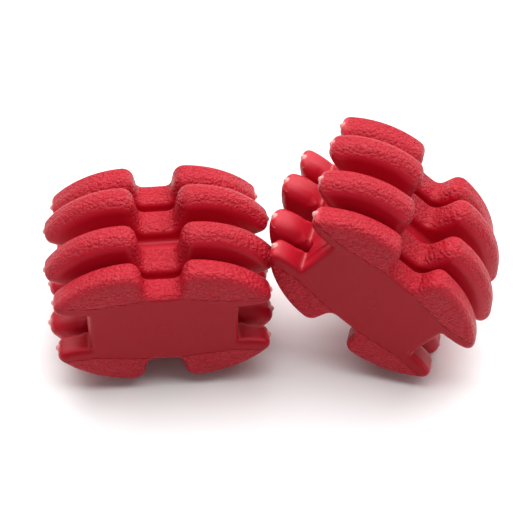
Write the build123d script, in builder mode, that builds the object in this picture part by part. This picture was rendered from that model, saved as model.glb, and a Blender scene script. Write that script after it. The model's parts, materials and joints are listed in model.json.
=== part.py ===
"""A pair of moulded rubber dampers for a split-limb archery bow.

One damper stands upright and the other leans beside it.  Each damper is a solid core
with four fins, one behind another along its depth.  A notch above and below and a slot
on either side cut every fin into four lobes, and the lobes flex fore and aft at their
necks.  The two side slots grip the inner edges of the bow's upper and lower limb halves.
Each lobe turns on a round root that lies in a groove of the core.
"""
import os
from math import cos, radians, sin, sqrt

from build123d import *

# Driving dimensions, mm.  A damper's own frame has X across, Y into its depth and Z up,
# with the origin at the damper's centre.
DAMPER_DEPTH = 33.8
MIDDLE_FIN_PITCH = 11.2
CORE_WIDTH = 28.8
SLOT_HEIGHT = 8.8
NOTCH_WIDTH = 6.6
FLOOR_HEIGHT = 8.5           # notch floor above the damper's centre
STRIP_HEIGHT = 5.9           # core's surface between two fins, above the centre
STRIP_SHOULDER = 7.5         # half-width of that flat strip before it falls away
CORE_GAP_WALL = 3.4          # half-height of the core's side between two fins

# The two kinds of fin.  Thickness falls from the neck ("root") to the lobe's back ("crest").
# Seen from the front, a lobe's back is one arc, the crown, whose highest point is given as
# x across and z up from the damper's centre; it runs down to the lip of the limb slot.
END_FIN = {"root": 6.1, "crest": 5.6, "crown": (5.6, 13.8), "crown_radius": 20.4}
MIDDLE_FIN = {"root": 6.8, "crest": 6.2, "crown": (7.7, 16.0), "crown_radius": 17.5}
CREST_HEIGHT = 9.0           # above the neck, where the crest thickness holds
NOTCH_DRAFT = 1.2            # how far the notch wall leans outwards at its top
LIP_FLARE = radians(14.0)    # slope of a slot lip, opening outwards
CROWN_CORNER_RADIUS = 2.0
TIP_RADIUS = 2.1
EDGE_ROUNDING = 1.9

# Lobe roots.
ROOT_RADIUS = 2.0
ROOT_CLEARANCE = 0.1         # radial, in the core's groove
ROOT_INSET = 1.2             # from each end of the neck
ROOT_END_GAP = 0.15          # from the root's ends to the groove's ends
NECK_GAP = 0.5               # between a lobe's flat underside and the core

# Where the dampers stand: the centres of the upright and of the leaning one, the second
# turned clockwise as seen from above and rolled onto its lower right lobes.
STANDING_CENTRE = (-23.95, 2.4, 16.0)
LEANING_CENTRE = (21.5, 0.0, 21.095)
LEANING_YAW = radians(-18.8)
LEANING_ROLL = radians(38.3)

HALF_CORE = CORE_WIDTH / 2
HALF_SLOT = SLOT_HEIGHT / 2
HALF_NOTCH = NOTCH_WIDTH / 2
END_FIN_Y = (DAMPER_DEPTH - END_FIN["root"]) / 2
MIDDLE_FIN_Y = MIDDLE_FIN_PITCH / 2

FINS = {
    "front": (-END_FIN_Y, END_FIN),
    "front_mid": (-MIDDLE_FIN_Y, MIDDLE_FIN),
    "rear_mid": (MIDDLE_FIN_Y, MIDDLE_FIN),
    "rear": (END_FIN_Y, END_FIN),
}
QUADRANTS = {
    "upper_left": (-1, 1),
    "upper_right": (1, 1),
    "lower_left": (-1, -1),
    "lower_right": (1, -1),
}

standing_frame = Plane(origin=STANDING_CENTRE)
leaning_frame = Plane(
    origin=LEANING_CENTRE,
    x_dir=(
        cos(LEANING_ROLL) * cos(LEANING_YAW),
        cos(LEANING_ROLL) * sin(LEANING_YAW),
        -sin(LEANING_ROLL),
    ),
    z_dir=(
        sin(LEANING_ROLL) * cos(LEANING_YAW),
        sin(LEANING_ROLL) * sin(LEANING_YAW),
        cos(LEANING_ROLL),
    ),
)

# The neck runs from the notch floor's corner to the slot's inner corner.
notch_corner = Vector(HALF_NOTCH, FLOOR_HEIGHT)
slot_corner = Vector(HALF_CORE, HALF_SLOT)
neck = slot_corner - notch_corner
neck_normal = Vector(-neck.Y, neck.X).normalized()


def fin_plane(frame, fin_y, across=1, up=1):
    """Plane of one fin whose local x and y point along the damper's across and up sides."""
    return Plane(
        origin=frame.from_local_coords((0, fin_y, 0)),
        x_dir=frame.x_dir * across,
        z_dir=frame.y_dir * (-across * up),
    )


def root_plane(plane, inset):
    """Plane square to the neck, a given distance along it from the notch's corner.

    Its x is along the fin's thickness and its y points into the core.
    """
    along = neck.normalized()
    start = notch_corner + along * inset
    ahead = start + along
    origin = plane.from_local_coords((start.X, start.Y, 0))
    neck_dir = plane.from_local_coords((ahead.X, ahead.Y, 0)) - origin
    return Plane(origin=origin, x_dir=plane.z_dir, z_dir=neck_dir)


def crown_point(fin, x):
    """Point of a lobe's crown at a given distance across."""
    crown_x, crown_z = fin["crown"]
    drop = fin["crown_radius"] - sqrt(fin["crown_radius"] ** 2 - (x - crown_x) ** 2)
    return Vector(x, crown_z - drop)


def tip_point(fin, lip_root):
    """Where a lobe's crown meets the sloping lip of the slot."""
    crown_x, crown_z = fin["crown"]
    slope = Vector(cos(LIP_FLARE), sin(LIP_FLARE))
    from_centre = lip_root - Vector(crown_x, crown_z - fin["crown_radius"])
    along = from_centre.dot(slope)
    return lip_root + slope * (sqrt(along**2 - from_centre.length**2 + fin["crown_radius"] ** 2) - along)


def make_core(frame, label):
    """Solid core: the web right through, a plate for each fin and grooves for the roots."""
    with BuildPart() as core:
        with BuildSketch(fin_plane(frame, 0)):
            with BuildLine():
                Polyline(
                    (0, STRIP_HEIGHT), (STRIP_SHOULDER, STRIP_HEIGHT), (HALF_CORE, CORE_GAP_WALL),
                    (HALF_CORE, -CORE_GAP_WALL), (STRIP_SHOULDER, -STRIP_HEIGHT), (0, -STRIP_HEIGHT),
                )
                mirror(about=Plane.YZ)
            make_face()
        extrude(amount=DAMPER_DEPTH / 2, both=True)
        for fin_y, fin in FINS.values():
            with BuildSketch(fin_plane(frame, fin_y)):
                with BuildLine():
                    Polyline(
                        (0, FLOOR_HEIGHT), (HALF_NOTCH, FLOOR_HEIGHT), (HALF_CORE, HALF_SLOT),
                        (HALF_CORE, -HALF_SLOT), (HALF_NOTCH, -FLOOR_HEIGHT), (0, -FLOOR_HEIGHT),
                    )
                    mirror(about=Plane.YZ)
                make_face()
            extrude(amount=fin["root"] / 2, both=True)
        for fin_y, _ in FINS.values():
            for across, up in QUADRANTS.values():
                plane = fin_plane(frame, fin_y, across, up)
                with BuildSketch(root_plane(plane, ROOT_INSET - ROOT_END_GAP)):
                    Circle(ROOT_RADIUS + ROOT_CLEARANCE)
                extrude(amount=neck.length - 2 * (ROOT_INSET - ROOT_END_GAP), mode=Mode.SUBTRACT)
    core.part.label = label
    return core.part


def make_lobe(plane, fin, label):
    """One lobe of a fin: a rounded finger above the neck, with its round root."""
    wall_foot = notch_corner + neck_normal * NECK_GAP
    wall_top = crown_point(fin, HALF_NOTCH + NOTCH_DRAFT)
    lip_root = slot_corner + neck_normal * NECK_GAP
    tip = tip_point(fin, lip_root)
    with BuildPart() as lobe:
        with BuildSketch(plane) as outline:
            with BuildLine():
                Polyline(tip, lip_root, wall_foot, wall_top)
                ThreePointArc(wall_top, Vector(*fin["crown"]), tip)
            make_face()
            fillet(outline.vertices().sort_by_distance(wall_top)[0], CROWN_CORNER_RADIUS)
            fillet(outline.vertices().sort_by_distance(tip)[0], TIP_RADIUS)
        extrude(amount=fin["root"] / 2, both=True)
        with BuildSketch(root_plane(plane, -neck.length)):
            with BuildLine():
                Polyline(
                    (fin["root"] / 2, 0), (fin["crest"] / 2, -CREST_HEIGHT), (fin["crest"] / 2, -2 * CREST_HEIGHT),
                    (-fin["crest"] / 2, -2 * CREST_HEIGHT), (-fin["crest"] / 2, -CREST_HEIGHT),
                    (-fin["root"] / 2, 0), close=True,
                )
            make_face()
        extrude(amount=3 * neck.length, mode=Mode.INTERSECT)
        sides = lobe.faces().filter_by(lambda face: abs(face.normal_at().dot(plane.z_dir)) > 0.9)
        neck_middle = plane.from_local_coords((wall_foot + lip_root) / 2)
        fillet(sides.edges().sort_by_distance(neck_middle)[2:], EDGE_ROUNDING)
        with BuildSketch(root_plane(plane, ROOT_INSET)):
            Circle(ROOT_RADIUS)
        extrude(amount=neck.length - 2 * ROOT_INSET)
    lobe.part.label = label
    return lobe.part


os.makedirs("parts", exist_ok=True)
for damper, frame in (("standing", standing_frame), ("leaning", leaning_frame)):
    core = make_core(frame, f"{damper}_core")
    export_step(core, f"parts/{core.label}.step")
    for fin_name, (fin_y, fin) in FINS.items():
        for quadrant, (across, up) in QUADRANTS.items():
            plane = fin_plane(frame, fin_y, across, up)
            lobe = make_lobe(plane, fin, f"{damper}_{fin_name}_{quadrant}_lobe")
            export_step(lobe, f"parts/{lobe.label}.step")
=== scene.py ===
"""Looks of the pair of split-limb bow dampers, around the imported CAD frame.

Both dampers are the same rubber moulding.  Its surface is worked out once as a distance
field in the damper's own millimetres, turned into a fine mesh, and cut at the lobes'
necks into the core and its sixteen lobes, which are then placed in each damper's frame.
"""
import json
from math import cos, hypot, radians, sin

import bmesh
import bpy
import numpy as np
from mathutils import Matrix, Vector


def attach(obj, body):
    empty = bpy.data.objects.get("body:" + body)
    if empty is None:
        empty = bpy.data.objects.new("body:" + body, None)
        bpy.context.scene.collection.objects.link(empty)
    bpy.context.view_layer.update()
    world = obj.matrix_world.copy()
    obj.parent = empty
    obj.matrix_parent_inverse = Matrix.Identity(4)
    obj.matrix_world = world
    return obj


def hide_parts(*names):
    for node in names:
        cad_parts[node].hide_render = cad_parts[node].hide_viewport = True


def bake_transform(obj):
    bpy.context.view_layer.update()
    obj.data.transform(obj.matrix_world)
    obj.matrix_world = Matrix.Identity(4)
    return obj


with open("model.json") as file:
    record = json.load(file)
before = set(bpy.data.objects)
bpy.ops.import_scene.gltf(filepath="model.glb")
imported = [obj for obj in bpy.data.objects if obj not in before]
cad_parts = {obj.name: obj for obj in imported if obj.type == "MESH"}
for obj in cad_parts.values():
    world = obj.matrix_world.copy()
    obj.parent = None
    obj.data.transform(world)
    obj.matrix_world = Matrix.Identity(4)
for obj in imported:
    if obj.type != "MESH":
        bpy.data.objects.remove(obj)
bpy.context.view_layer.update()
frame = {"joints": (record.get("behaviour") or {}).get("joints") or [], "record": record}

MM = 0.001

# The moulding, mm, in a damper's own frame: X across, Y into the depth, Z up.
HALF_DEPTH = 16.9
HALF_CORE = 14.4
HALF_SLOT = 4.4
LIP_PEAK = 15.8              # across, where the bulging slot lip is nearest the mid-plane
LIP_RADIUS = 12.0
SLOT_FILLET = 0.5
HALF_NOTCH = 3.3
FLOOR_HEIGHT = 8.5
NOTCH_DRAFT = 0.2            # lean of a notch wall per mm upwards
NOTCH_FILLET = 1.2
STRIP_HEIGHT = 5.9
STRIP_SHOULDER = 7.5
CORE_GAP_WALL = 3.4
VALLEY_FILLET = 0.9

# Thickness at the neck and at the lobe's back, the back's arc, and the stub of flash on its tip.
END_FIN = {"root": 6.1, "crest": 5.6, "crown": (5.6, 13.8), "crown_radius": 20.4, "nub": (20.7, 6.2)}
MIDDLE_FIN = {"root": 6.8, "crest": 6.2, "crown": (7.7, 16.0), "crown_radius": 17.5, "nub": (22.2, 7.2)}
END_FIN["y"] = HALF_DEPTH - END_FIN["root"] / 2
MIDDLE_FIN["y"] = 5.6
NUB_RADIUS = 0.6
NUB_FILLET = 0.25
CREST_HEIGHT = 9.0           # above the neck, where the crest thickness holds
FIN_BULGE = 0.32             # of each side, halfway up a lobe
TIP_RADIUS = 2.0
CROWN_CORNER_RADIUS = 2.0
FLOOR_EDGE = 1.2             # rounding of the notch floors' edges
LOBE_EDGE = 2.6              # rounding of the lobes' edges in the gaps
END_FACE_EDGE = 1.5          # rounding of the end fins' outer edges
EDGE_GROWTH = (-1, 3.5)      # heights about the neck between which edges grow to the lobe's
SLOT_EDGE_GROWTH = 2.5       # the same, outwards from the core into the slot
WEB_EDGE = 0.5               # rounding of the core's strip between two fins
UNEVENNESS = 0.05            # of the whole surface, as moulded rubber has
UNEVEN_CELL = 2.6

VOXEL = 0.28
HALF_REACH = np.array((23.8, HALF_DEPTH, 17.5))     # half of the space that holds the moulding
MARGIN = 0.8
NEWTON_STEPS = 6
FIN_SPLIT = (END_FIN["y"] + MIDDLE_FIN["y"]) / 2

NECK_START = np.array((HALF_NOTCH, FLOOR_HEIGHT))
NECK_END = np.array((HALF_CORE, HALF_SLOT))
NECK = (NECK_END - NECK_START) / np.linalg.norm(NECK_END - NECK_START)
NECK_OUT = np.array((-NECK[1], NECK[0]))

# Side along the depth and whether it is an end fin; then across and up.
FINS = {"front": (-1, True), "front_mid": (-1, False), "rear_mid": (1, False), "rear": (1, True)}
QUADRANTS = {"upper_left": (-1, 1), "upper_right": (1, 1), "lower_left": (-1, -1), "lower_right": (1, -1)}

# Parting line between an end panel and the grain: places across, and its height there.
PANEL_EDGE = ((0, HALF_NOTCH, HALF_CORE - 1, 21), (7.9, 7.9, 6.7, 7.4))
PANEL_FADE = (-0.1, 0.25)
PANEL_DEPTH = (0.5, 0.2)     # under the end face, where the panel starts and is full
GRAIN_INSET = (-0.15, -0.9)  # from a fin's side, where the grain starts and is full
LIP_FADE = (1.0, 1.5)        # above the slot lip, the same
FLOOR_GRAIN_DEPTH = 2.0      # below the notch floor, where the core's grain ends
LOBE_GRAIN_DEPTH = 1.6
LINE_WIDTH = 0.13            # of parting lines
TIP_LINE_HEIGHT = 1.2        # above the slot lip
TIP_LINE_START = 3.0         # outwards from the core
TIP_LINE_INSET = 0.6
GATE_RADIUS = 1.1            # ring left by the moulding gate, at each end panel's centre
GATE_WIDTH = 0.16
GATE_STRENGTH = 0.25
CORNER_HIGHLIGHT_OFFSET = (0.25, 0.3)  # painted highlight, a pale line from the slot's inner corner
CORNER_HIGHLIGHT_WIDTH = 0.35
CORNER_HIGHLIGHT_STRENGTH = 0.4
CORNER_HIGHLIGHT_INSET = 1.0
FLASH_AND_HIGHLIGHT_FADE = (0.35, 0.05)    # distance from a nub where its paleness, whitened flash with a painted highlight, starts and is full

HASH_FACTORS = np.array((374761393, 668265263, 2147483647))
HASH_OFFSET = 974711
HASH_MIXER = 1274126177
HASH_MASK = 0x7FFFFFFF
HASH_TOP = 0xFFFF

# Rubber colours, linear, and the depth of its relief in metres.
RUBBER_REDS = ((0.42, 0.003, 0.015, 1), (0.50, 0.005, 0.021, 1))
# Painted shade: the end panels' darker red, for faces turned away from the light
SHADED_PANEL_RED = (0.31, 0.004, 0.012, 1)
# Pale pink: whitened flash with a painted highlight on the nubs, and painted highlight at the slot's
# inner corners
PALE_FLASH_AND_HIGHLIGHT = (0.86, 0.42, 0.40, 1)
RELIEF_DEPTH = 0.4 * MM
GRAIN_WARP = 0.8


# ---------------------------------------------------------------- the moulding's surface

def round_max(a, b, r):
    """Intersection of two distance fields with its edge rounded to radius r."""
    return np.minimum(np.maximum(a, b), -r) + np.hypot(np.maximum(a + r, 0), np.maximum(b + r, 0))


def round_min(a, b, r):
    """Union of two distance fields with its valley filleted to radius r."""
    return np.maximum(np.minimum(a, b), r) - np.hypot(np.maximum(r - a, 0), np.maximum(r - b, 0))


def smoothstep(low, high, value):
    t = np.clip((value - low) / (high - low), 0, 1)
    return t * t * (3 - 2 * t)


def neck_height(x, z):
    """Height above the neck line, outwards, of a point of the first quadrant."""
    return (x - NECK_START[0]) * NECK_OUT[0] + (z - NECK_START[1]) * NECK_OUT[1]


def lip_height(x, z):
    """Distance into the rubber from the bulging lip of the limb slot."""
    return LIP_RADIUS - np.hypot(x - LIP_PEAK, z - HALF_SLOT - LIP_RADIUS)


def fin_outline(x, z, fin):
    """Distance to a fin's outline: crown, notch, slot and tips."""
    crown_x, crown_z = fin["crown"]
    radius = fin["crown_radius"]
    crown = np.hypot(x - crown_x, z - (crown_z - radius)) - radius
    lean = hypot(1, NOTCH_DRAFT)
    notch_wall = (x - HALF_NOTCH - NOTCH_DRAFT * (z - FLOOR_HEIGHT)) / lean
    notch = round_max(notch_wall, FLOOR_HEIGHT - z, NOTCH_FILLET)
    slot = round_max(lip_height(x, z), HALF_CORE - x, SLOT_FILLET)
    outline = round_max(crown, -slot, TIP_RADIUS)
    return round_max(outline, -notch, CROWN_CORNER_RADIUS)


def panel_edge(x):
    """Height of the parting line between an end panel and the grain above it."""
    return np.interp(x, *PANEL_EDGE)


def half_thickness(x, z, fin):
    """Half a fin's thickness: it bulges a little between neck and crest."""
    rise = np.clip(neck_height(x, z) / CREST_HEIGHT, 0, 1)
    taper = (fin["root"] + (fin["crest"] - fin["root"]) * rise) / 2
    return taper + FIN_BULGE * 4 * rise * (1 - rise)


def edge_radius(x, z, lobe_edge):
    """Edges grow from tight ones at the notch floors to round ones up the lobes and in the slots."""
    up_lobe = smoothstep(*EDGE_GROWTH, neck_height(x, z))
    in_slot = smoothstep(HALF_CORE, HALF_CORE + SLOT_EDGE_GROWTH, x)
    return FLOOR_EDGE + (lobe_edge - FLOOR_EDGE) * np.maximum(up_lobe, in_slot)


def middle_fins(x, y, z):
    sides = np.abs(y - MIDDLE_FIN["y"]) - half_thickness(x, z, MIDDLE_FIN)
    return round_max(fin_outline(x, z, MIDDLE_FIN), sides, edge_radius(x, z, LOBE_EDGE))


def end_fins(x, y, z):
    half = half_thickness(x, z, END_FIN)
    outer = y - END_FIN["y"] - half
    body = round_max(fin_outline(x, z, END_FIN), outer, edge_radius(x, z, END_FACE_EDGE))
    inner = END_FIN["y"] - half - y
    return round_max(body, inner, edge_radius(x, z, LOBE_EDGE))


def nubs(x, y, z):
    """Stubs of trimmed flash, one on each lobe's tip."""
    to_end, to_middle = (
        np.sqrt((x - fin["nub"][0]) ** 2 + (y - fin["y"]) ** 2 + (z - fin["nub"][1]) ** 2)
        for fin in (END_FIN, MIDDLE_FIN)
    )
    return np.minimum(to_end, to_middle) - NUB_RADIUS


def web(x, y, z):
    """Distance to the core's web, which shows between the fins."""
    slope_x, slope_z = STRIP_HEIGHT - CORE_GAP_WALL, HALF_CORE - STRIP_SHOULDER
    length = hypot(slope_x, slope_z)
    slope = ((x - STRIP_SHOULDER) * slope_x + (z - STRIP_HEIGHT) * slope_z) / length
    outline = round_max(round_max(z - STRIP_HEIGHT, slope, WEB_EDGE), x - HALF_CORE, WEB_EDGE)
    return np.maximum(outline, y - END_FIN["y"])


def moulding(points):
    """Distance to the whole damper's surface; every mid-plane is a mirror."""
    x, y, z = np.abs(points).T
    fins = np.minimum(middle_fins(x, y, z), end_fins(x, y, z))
    solid = round_min(fins, web(x, y, z), VALLEY_FILLET)
    return round_min(solid, nubs(x, y, z), NUB_FILLET)


def cell_noise(points):
    """Smooth random values, 0 to 1, one per unit cell."""
    base = np.floor(points).astype(np.int64)
    part = points - base
    part = part * part * (3 - 2 * part)
    total = np.zeros(len(points))
    for corner in range(8):
        bits = np.array((corner & 1, corner >> 1 & 1, corner >> 2 & 1))
        cell = base + bits
        mixed = (cell @ HASH_FACTORS + HASH_OFFSET) & HASH_MASK
        mixed = (mixed ^ (mixed >> 13)) * HASH_MIXER & HASH_MASK
        value = ((mixed ^ (mixed >> 16)) & HASH_TOP) / HASH_TOP
        total += value * np.prod(np.where(bits, part, 1 - part), axis=1)
    return total


def surface(points):
    """The moulding with its soft unevenness."""
    return moulding(points) - UNEVENNESS * (cell_noise(points / UNEVEN_CELL) - 0.5)


def gradient(field, points, step=0.02):
    """Slope of a field along each axis, by central differences."""
    slopes = []
    for axis in range(3):
        shift = np.zeros(3)
        shift[axis] = step
        slopes.append((field(points + shift) - field(points - shift)) / (2 * step))
    return np.stack(slopes, axis=1)


def surface_net(field, low, high, voxel):
    """Quad mesh of field = 0: one vertex in each cell the surface crosses, pulled onto it."""
    counts = np.ceil((high - low) / voxel).astype(int) + 1
    axes = [low[i] + voxel * np.arange(counts[i]) for i in range(3)]
    values = np.empty(counts)
    for i, x in enumerate(axes[0]):
        y, z = np.meshgrid(axes[1], axes[2], indexing="ij")
        plane = np.stack((np.full(y.size, x), y.ravel(), z.ravel()), axis=1)
        values[i] = field(plane).reshape(y.shape)
    inside = values < 0
    corners = [inside[i:counts[0] - 1 + i, j:counts[1] - 1 + j, k:counts[2] - 1 + k]
               for i in (0, 1) for j in (0, 1) for k in (0, 1)]
    total = np.sum(corners, axis=0)
    crossed = (total > 0) & (total < 8)
    index = np.full(crossed.shape, -1)
    index[crossed] = np.arange(crossed.sum())
    points = low + voxel * (np.argwhere(crossed) + 0.5)
    quads = []
    for axis in range(3):
        a, b = (axis + 1) % 3, (axis + 2) % 3
        first = np.moveaxis(inside, (axis, a, b), (0, 1, 2))
        cells = np.moveaxis(index, (axis, a, b), (0, 1, 2))
        change = first[:-1, 1:-1, 1:-1] != first[1:, 1:-1, 1:-1]
        i, j, k = np.nonzero(change)
        around = ((0, 0), (1, 0), (1, 1), (0, 1))
        ring = np.stack([cells[i, j + dj, k + dk] for dj, dk in around], axis=1)
        leaving = first[:-1, 1:-1, 1:-1][i, j, k]
        ring[~leaving] = ring[~leaving][:, ::-1]
        quads.append(ring)
    for _ in range(NEWTON_STEPS):
        slope = gradient(field, points)
        steep = np.maximum(np.sum(slope * slope, axis=1), 0.05)
        move = field(points)[:, None] * slope / steep[:, None]
        length = np.maximum(np.linalg.norm(move, axis=1, keepdims=True), 1e-9)
        points = points - move * np.minimum(1, 0.5 * voxel / length)
    return points, np.concatenate(quads)


# ---------------------------------------------------------------- zones of the surface

def line(distance, width):
    """Weight of a soft line, 1 where the distance is 0."""
    return np.exp(-(distance / width) ** 2)


def zones(points):
    """Weights, 0 to 1, of grain, parting lines, paleness and end panels at points on the moulding; the
    paleness is whitened flash with a painted highlight on the nubs and painted highlight at the slot's
    inner corners, and the end panels carry painted shade.
    """
    x, y, z = np.abs(points).T
    end_fin = y > FIN_SPLIT
    offset = y - np.where(end_fin, END_FIN["y"], MIDDLE_FIN["y"])
    half = np.where(end_fin, half_thickness(x, z, END_FIN), half_thickness(x, z, MIDDLE_FIN))
    above_panel = z - panel_edge(x)
    lip = lip_height(x, z)

    inner = smoothstep(*GRAIN_INSET, np.where(end_fin, -offset, np.abs(offset)) - half)
    face = np.where(end_fin, smoothstep(*PANEL_FADE, above_panel), 1)
    on_lobe = smoothstep(*LIP_FADE, lip) * (z > FLOOR_HEIGHT - LOBE_GRAIN_DEPTH)
    outward = np.where(x < HALF_CORE - 1, z > FLOOR_HEIGHT - FLOOR_GRAIN_DEPTH, on_lobe)
    grain = inner * face * outward

    on_face = smoothstep(HALF_DEPTH - PANEL_DEPTH[0], HALF_DEPTH - PANEL_DEPTH[1], y)
    edge = line(above_panel, LINE_WIDTH) * on_face * (x > HALF_NOTCH)
    tip_line = line(lip - TIP_LINE_HEIGHT, LINE_WIDTH) * (x > HALF_CORE + TIP_LINE_START)
    lines = np.maximum(edge, tip_line * (np.abs(offset) < half - TIP_LINE_INSET))
    gate = line(np.hypot(x, z) - GATE_RADIUS, GATE_WIDTH) * on_face
    parting = np.maximum(lines, GATE_STRENGTH * gate)

    # Painted highlight: a pale line along the slot's inner corner
    from_corner = np.hypot(x - HALF_CORE - CORNER_HIGHLIGHT_OFFSET[0], z - HALF_SLOT - CORNER_HIGHLIGHT_OFFSET[1])
    corner_highlight = line(from_corner, CORNER_HIGHLIGHT_WIDTH) * (np.abs(offset) < half - CORNER_HIGHLIGHT_INSET)
    # Paleness: whitened flash with a painted highlight at the nubs, and the painted highlight at the slot
    # corners
    flash_and_highlight = np.maximum(smoothstep(*FLASH_AND_HIGHLIGHT_FADE, nubs(x, y, z)), CORNER_HIGHLIGHT_STRENGTH * corner_highlight)

    # End panels, whose red the rubber paints darker as shade
    panel = on_face * smoothstep(*reversed(PANEL_FADE), above_panel)
    return grain, parting, flash_and_highlight, panel


# ---------------------------------------------------------------- cutting into pieces

def cut_at_necks(points, quads):
    """Cuts the surface along the neck planes; returns its points and faces."""
    mesh = bpy.data.meshes.new("moulding")
    mesh.from_pydata(points.tolist(), [], quads.tolist())
    cutter = bmesh.new()
    cutter.from_mesh(mesh)
    for across, up in QUADRANTS.values():
        faces = [f for f in cutter.faces if f.calc_center_median().x * across > 1
                 and f.calc_center_median().z * up > 1]
        edges = {e for f in faces for e in f.edges}
        verts = {v for f in faces for v in f.verts}
        bmesh.ops.bisect_plane(
            cutter, geom=faces + list(edges) + list(verts), dist=1e-5,
            plane_co=(NECK_START[0] * across, 0, NECK_START[1] * up),
            plane_no=(NECK_OUT[0] * across, 0, NECK_OUT[1] * up))
    cutter.verts.index_update()
    cut_points = np.array([v.co for v in cutter.verts])
    cut_faces = [[v.index for v in f.verts] for f in cutter.faces]
    cutter.free()
    bpy.data.meshes.remove(mesh)
    return cut_points, cut_faces


def rim_loops(faces):
    """The open edges of a set of faces, chained into loops that run as the faces do."""
    ahead = dict.fromkeys((a, b) for face in faces for a, b in zip(face, face[1:] + face[:1]))
    follow = {a: b for a, b in ahead if (b, a) not in ahead}
    loops = []
    while follow:
        start, here = follow.popitem()
        loop = [start]
        while here != start:
            loop.append(here)
            here = follow.pop(here)
        loops.append(loop)
    return loops


def piece_name(centre):
    """Which piece of the moulding a face belongs to, from its centre."""
    x, y, z = centre
    if neck_height(abs(x), abs(z)) < 0:
        return "core"
    end_fin = abs(y) > FIN_SPLIT
    fin = next(n for n, (side, end) in FINS.items() if side * y > 0 and end == end_fin)
    quadrant = next(n for n, (across, up) in QUADRANTS.items() if across * x > 0 and up * z > 0)
    return f"{fin}_{quadrant}_lobe"


def moulding_pieces():
    """{piece: (points, faces, number of cap faces at the end)} of one damper, all closed."""
    reach = HALF_REACH + MARGIN
    points, faces = cut_at_necks(*surface_net(surface, -reach, reach, VOXEL))
    groups = {}
    for face in faces:
        groups.setdefault(piece_name(points[face].mean(axis=0)), []).append(face)
    pieces = {}
    for name, group in groups.items():
        used = np.unique(np.concatenate([np.array(f) for f in group]))
        renumber = dict(zip(used.tolist(), range(len(used))))
        group = [[renumber[i] for i in f] for f in group]
        own = points[used]
        caps = []
        for loop in rim_loops(group):
            own = np.vstack((own, own[loop].mean(axis=0)))
            middle = len(own) - 1
            caps += [[b, a, middle] for a, b in zip(loop, loop[1:] + loop[:1])]
        pieces[name] = (own, group + caps, len(caps))
    return pieces


# ---------------------------------------------------------------- the dampers' places

mounts = {m["name"]: m for m in frame["record"]["mounts"]}
joints = {j["name"]: j for j in frame["joints"]}


def damper_axes(damper):
    """Centre in metres, and a matrix whose columns are a damper's own axes."""
    left, right = (
        np.array(mounts[f"{damper}_{side}_limb_seat"]["pos_m"]) for side in ("left", "right")
    )
    rear, front = (
        np.array(joints[f"{damper}_{fin}_upper_right_flex"]["pos_m"]) for fin in ("rear", "front")
    )
    x = (right - left) / np.linalg.norm(right - left)
    y = (rear - front) / np.linalg.norm(rear - front)
    return (left + right) / 2, np.stack((x, y, np.cross(x, y)), axis=1)


def add_piece(name, piece, centre, axes, material):
    """One rubber piece as a Blender mesh, with the moulding's own normals and zones."""
    points, faces, caps = piece
    mesh = bpy.data.meshes.new(name)
    mesh.from_pydata((centre + points @ axes.T * MM).tolist(), [], faces)
    mesh.polygons.foreach_set("use_smooth", np.ones(len(faces), bool))
    mesh.materials.append(material)
    for label, values in zip(("grain", "parting", "flash_and_highlight", "panel"), zones(points)):
        mesh.attributes.new(label, "FLOAT", "POINT").data.foreach_set("value", values.astype(np.float32))
    place = mesh.attributes.new("mould_place", "FLOAT_VECTOR", "POINT")
    place.data.foreach_set("vector", points.astype(np.float32).ravel())
    slope = gradient(surface, points)
    slope /= np.maximum(np.linalg.norm(slope, axis=1, keepdims=True), 1e-9)
    starts = np.empty(len(faces), int)
    mesh.polygons.foreach_get("loop_start", starts)
    corners = np.empty(len(mesh.loops), int)
    mesh.loops.foreach_get("vertex_index", corners)
    normals = (slope @ axes.T)[corners]
    flat = np.empty(len(faces) * 3, np.float32)
    mesh.polygons.foreach_get("normal", flat)
    first_cap = starts[len(faces) - caps]
    normals[first_cap:] = np.repeat(flat.reshape(-1, 3)[len(faces) - caps:], 3, axis=0)
    mesh.normals_split_custom_set(normals.tolist())
    obj = bpy.data.objects.new(name, mesh)
    bpy.context.scene.collection.objects.link(obj)
    return obj


# ---------------------------------------------------------------- rubber

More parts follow.
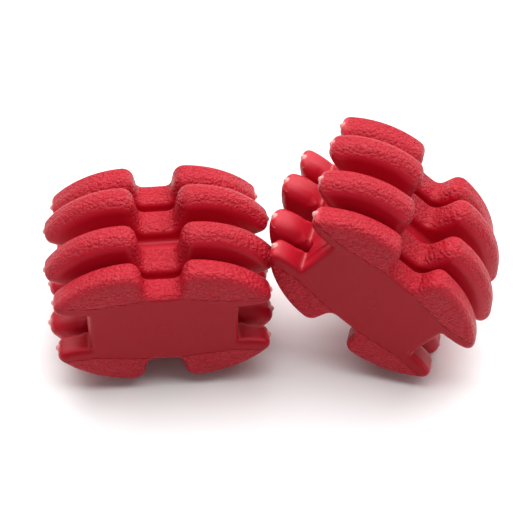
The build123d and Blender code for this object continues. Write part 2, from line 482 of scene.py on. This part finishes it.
def rubber(name):
    """Satin red moulded rubber: leather grain where the mould was etched, smooth elsewhere; painted shade
    darkens the end panels, and paler pink marks whitened flash with a painted highlight on the nubs and
    painted highlight at the slot corners.
    """
    material = bpy.data.materials.new(name)
    material.use_nodes = True
    nodes, links = material.node_tree.nodes, material.node_tree.links
    shader = nodes["Principled BSDF"]

    def node(kind, **settings):
        made = nodes.new(kind)
        for key, value in settings.items():
            if hasattr(made, key):
                setattr(made, key, value)
            else:
                made.inputs[key].default_value = value
        return made

    def attribute(label, output):
        return node("ShaderNodeAttribute", attribute_name=label).outputs[output]

    def maths(operation, a, b):
        made = node("ShaderNodeMath", operation=operation)
        for socket, value in zip(made.inputs, (a, b)):
            if isinstance(value, (int, float)):
                socket.default_value = value
            else:
                links.new(value, socket)
        return made.outputs[0]

    place = attribute("mould_place", "Vector")
    grain, parting, panel = (attribute(label, "Fac") for label in ("grain", "parting", "panel"))
    warp = node("ShaderNodeTexNoise", Scale=1.1, Detail=2.0)
    links.new(place, warp.inputs["Vector"])
    bent = node("ShaderNodeVectorMath", operation="MULTIPLY_ADD")
    links.new(warp.outputs["Color"], bent.inputs[0])
    bent.inputs[1].default_value = (GRAIN_WARP,) * 3
    links.new(place, bent.inputs[2])
    pebbles = node("ShaderNodeTexVoronoi", feature="SMOOTH_F1", Scale=1.5, Smoothness=0.3)
    links.new(bent.outputs[0], pebbles.inputs["Vector"])
    wrinkles = node("ShaderNodeTexNoise", Scale=2.6, Detail=3.0, Roughness=0.65)
    links.new(bent.outputs[0], wrinkles.inputs["Vector"])
    fine = node("ShaderNodeTexNoise", Scale=6.0, Detail=2.0)
    links.new(place, fine.inputs["Vector"])
    leather = maths("ADD", maths("MULTIPLY", pebbles.outputs["Distance"], -1.0),
                    maths("MULTIPLY", wrinkles.outputs["Fac"], 0.9))
    height = maths("ADD", maths("MULTIPLY", leather, grain), maths("MULTIPLY", fine.outputs["Fac"], 0.12))
    height = maths("ADD", height, maths("MULTIPLY", parting, 0.6))
    bump = node("ShaderNodeBump", Strength=1.0, Distance=RELIEF_DEPTH)
    links.new(height, bump.inputs["Height"])
    links.new(bump.outputs[0], shader.inputs["Normal"])

    cloud = node("ShaderNodeTexNoise", Scale=0.16, Detail=3.0)
    links.new(place, cloud.inputs["Vector"])
    tone = node("ShaderNodeMix", data_type="RGBA")
    tone.inputs["A"].default_value = RUBBER_REDS[0]
    tone.inputs["B"].default_value = RUBBER_REDS[1]
    links.new(cloud.outputs["Fac"], tone.inputs["Factor"])
    # Painted shade: the end panels' red is mixed darker, for faces turned away from the light
    panel_shade = node("ShaderNodeMix", data_type="RGBA")
    panel_shade.inputs["B"].default_value = SHADED_PANEL_RED
    links.new(maths("MULTIPLY", panel, 0.85), panel_shade.inputs["Factor"])
    links.new(tone.outputs["Result"], panel_shade.inputs["A"])
    # Paler pink: whitened flash with a painted highlight on the nubs, and painted highlight at the slot's
    # inner corners
    pale = node("ShaderNodeMix", data_type="RGBA")
    pale.inputs["B"].default_value = PALE_FLASH_AND_HIGHLIGHT
    links.new(maths("MULTIPLY", attribute("flash_and_highlight", "Fac"), 0.75), pale.inputs["Factor"])
    links.new(panel_shade.outputs["Result"], pale.inputs["A"])
    links.new(pale.outputs["Result"], shader.inputs["Base Color"])
    rough = maths("ADD", maths("MULTIPLY", grain, 0.08), maths("MULTIPLY", fine.outputs["Fac"], 0.1))
    links.new(maths("ADD", rough, 0.31), shader.inputs["Roughness"])
    links.new(maths("ADD", maths("MULTIPLY", panel, -0.12), 0.27), shader.inputs["Specular IOR Level"])
    return material


rubbers = {"core": rubber("smooth_rubber"), "lobe": rubber("grained_rubber")}
pieces = moulding_pieces()
for damper in ("standing", "leaning"):
    centre, axes = damper_axes(damper)
    for name, piece in pieces.items():
        node = f"{damper}_{name}"
        obj = add_piece(node + "_rubber", piece, centre, axes, rubbers[name.split("_")[-1]])
        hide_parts(node)
        if name == "core":
            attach(obj, node)
            continue
        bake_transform(obj)


# ---------------------------------------------------------------- floor, light and camera

def add_area(name, place, aim, size, power):
    """A square soft light that looks at a point."""
    data = bpy.data.lights.new(name, "AREA")
    data.size = size
    data.energy = power
    lamp = bpy.data.objects.new(name, data)
    lamp.location = place
    lamp.rotation_euler = (Vector(aim) - Vector(place)).to_track_quat("-Z", "Y").to_euler()
    bpy.context.scene.collection.objects.link(lamp)


def add_floor():
    """A plain pale studio floor."""
    bpy.ops.mesh.primitive_plane_add(size=6.0, location=(0, 0, 0))
    floor = bpy.context.object
    floor.name = "floor"
    material = bpy.data.materials.new("pale_floor")
    material.use_nodes = True
    shader = material.node_tree.nodes["Principled BSDF"]
    shader.inputs["Base Color"].default_value = (0.93, 0.93, 0.93, 1)
    shader.inputs["Roughness"].default_value = 0.6
    floor.data.materials.append(material)


def add_world(strength):
    """Even white light from all around."""
    world = bpy.data.worlds.new("studio")
    world.use_nodes = True
    world.node_tree.nodes["Background"].inputs["Strength"].default_value = strength
    world.node_tree.nodes["Background"].inputs["Color"].default_value = (1, 1, 1, 1)
    bpy.context.scene.world = world


def add_camera(aim, azimuth, elevation, roll, distance, lens):
    """The photograph's camera: in front, turned by the azimuth, above and slightly rolled."""
    data = bpy.data.cameras.new("camera")
    data.lens = lens
    data.sensor_width = 36.0
    camera = bpy.data.objects.new("camera", data)
    away = Vector((-sin(azimuth) * cos(elevation), -cos(azimuth) * cos(elevation), sin(elevation)))
    camera.location = Vector(aim) + away * distance
    turn = Matrix.Rotation(roll, 4, "Z").to_quaternion()
    camera.rotation_euler = (away.to_track_quat("Z", "Y") @ turn).to_euler()
    bpy.context.scene.collection.objects.link(camera)
    bpy.context.scene.camera = camera


add_floor()
add_world(0.28)
add_area("softbox", (0.06, 0.2, 0.45), (0, 0, 0), 0.9, 8.6)
add_camera(aim=(-0.00303, -0.00152, 0.01939), azimuth=radians(6.97), elevation=radians(43.07),
           roll=radians(1.3), distance=0.3123, lens=106.6)
bpy.context.scene.view_settings.view_transform = "Standard"
